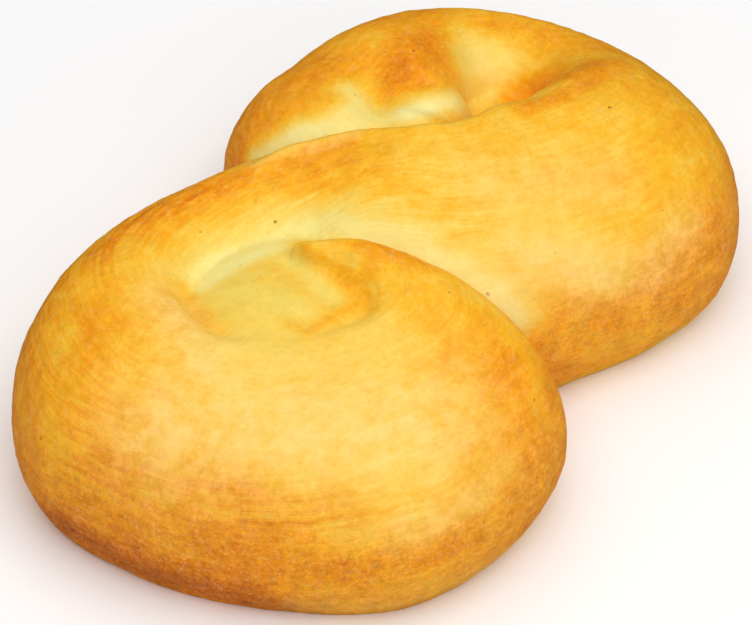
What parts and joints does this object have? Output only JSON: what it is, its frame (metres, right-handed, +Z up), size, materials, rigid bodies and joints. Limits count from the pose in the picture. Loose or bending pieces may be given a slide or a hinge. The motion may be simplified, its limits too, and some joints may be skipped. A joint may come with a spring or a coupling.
{
  "type": "saffron bun",
  "caption": "Baked saffron bun: one rope of dough laid as a flattened S, each end coiled round a shallow dimple.",
  "frame": {"origin": "under the middle of the bun's box, on the plane that it stands on", "axes": "+X along the length, from the coil with the open dimple to the coil with the deep one; +Z up"},
  "size_m": [0.1168, 0.0756, 0.034],
  "materials": {
    "crust": "baked dough with a soft egg-wash shine"
  },
  "bodies": {
    "root": {"bun": "crust"}
  },
  "joints": []
}
